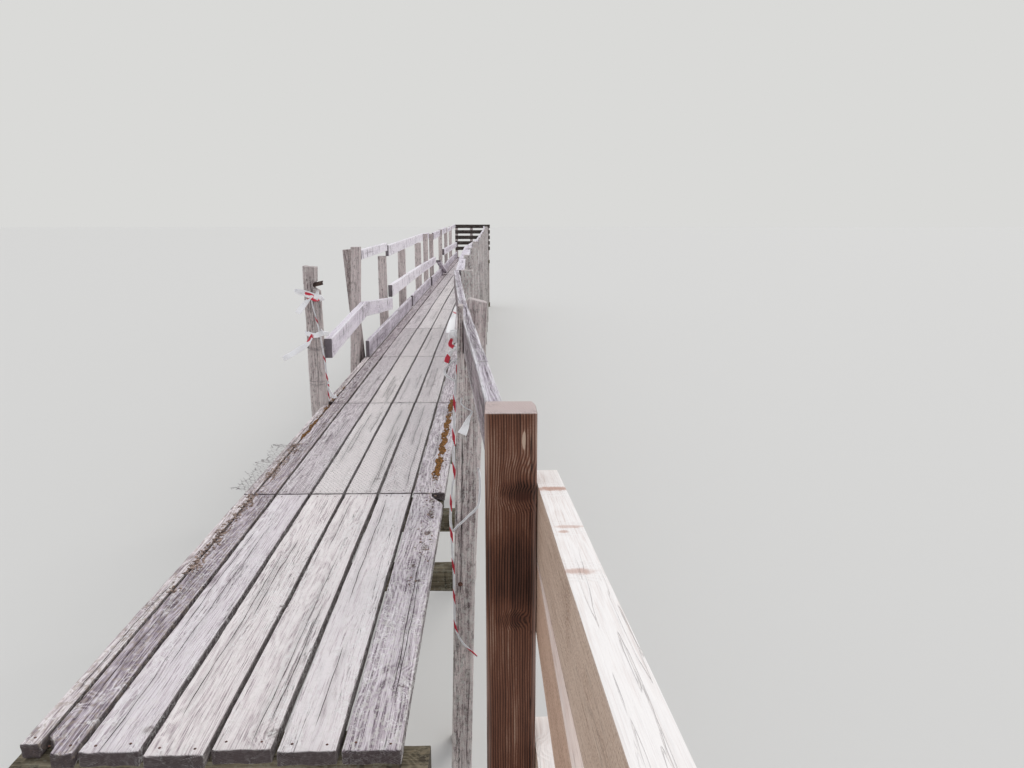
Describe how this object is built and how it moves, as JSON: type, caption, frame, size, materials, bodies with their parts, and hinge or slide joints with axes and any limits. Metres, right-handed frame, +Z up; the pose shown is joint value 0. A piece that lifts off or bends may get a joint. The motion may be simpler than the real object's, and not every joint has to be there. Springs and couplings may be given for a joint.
{
  "type": "wooden footbridge",
  "caption": "Long narrow plank footbridge on timber legs, with weathered rails in mixed repair, a closed far end and a new fence bay at the entrance.",
  "frame": {"origin": "middle of the underside of the sill under the entrance", "axes": "+Y along the bridge from the entrance, +X to the right, +Z up"},
  "size_m": [1.9266, 28.921, 2.97],
  "materials": {
    "old_plank": "bare weathered plank, dry and rough",
    "old_beam": "damp unpainted timber with algae",
    "old_post": "weathered post with drying cracks and lichen",
    "old_rail": "sun-bleached board, smooth from hands",
    "brown_post": "pressure-treated post, stained brown",
    "new_rail": "new pale sawn board",
    "barrier_board": "weathered brown board",
    "galvanised_wire": "dull galvanised wire",
    "rusty_iron": "rusted bolt and nail heads",
    "warning_tape": "thin polythene tape in red and white",
    "moss": "dry orange moss"
  },
  "bodies": {
    "root": {"deck_bay_01": "old_plank", "deck_bay_02": "old_plank", "deck_bay_03": "old_plank", "deck_bay_04": "old_plank", "deck_bay_05": "old_plank", "deck_bay_06": "old_plank", "deck_bay_07": "old_plank", "deck_bay_08": "old_plank", "deck_bay_09": "old_plank", "deck_bay_10": "old_plank", "deck_bay_11": "old_plank", "deck_bay_12": "old_plank", "bearers": "old_beam", "cross_beams": "old_beam", "edge_boards": "old_beam", "near_abutment": "old_beam", "far_abutment": "old_beam", "short_legs": "old_post", "bent_braces": "old_beam", "right_post_1": "old_post", "right_post_2": "old_post", "right_posts_far": "old_post", "right_handrail_near": "old_rail", "right_handrail_far": "old_rail", "right_mid_rail": "old_rail", "left_post_1": "old_post", "left_post_2": "old_post", "left_leaning_post": "old_post", "left_post_3": "old_post", "left_posts_far": "old_post", "left_top_rail": "old_rail", "left_mid_rail": "old_rail", "left_loose_rail": "old_rail", "left_fallen_rail": "old_rail", "left_kerb": "old_rail", "entrance_post": "brown_post", "approach_post": "brown_post", "approach_rail_top": "new_rail", "approach_rail_middle": "new_rail", "approach_rail_bottom": "new_rail", "end_barrier_boards": "barrier_board", "end_barrier_post": "old_post"}
  },
  "joints": []
}
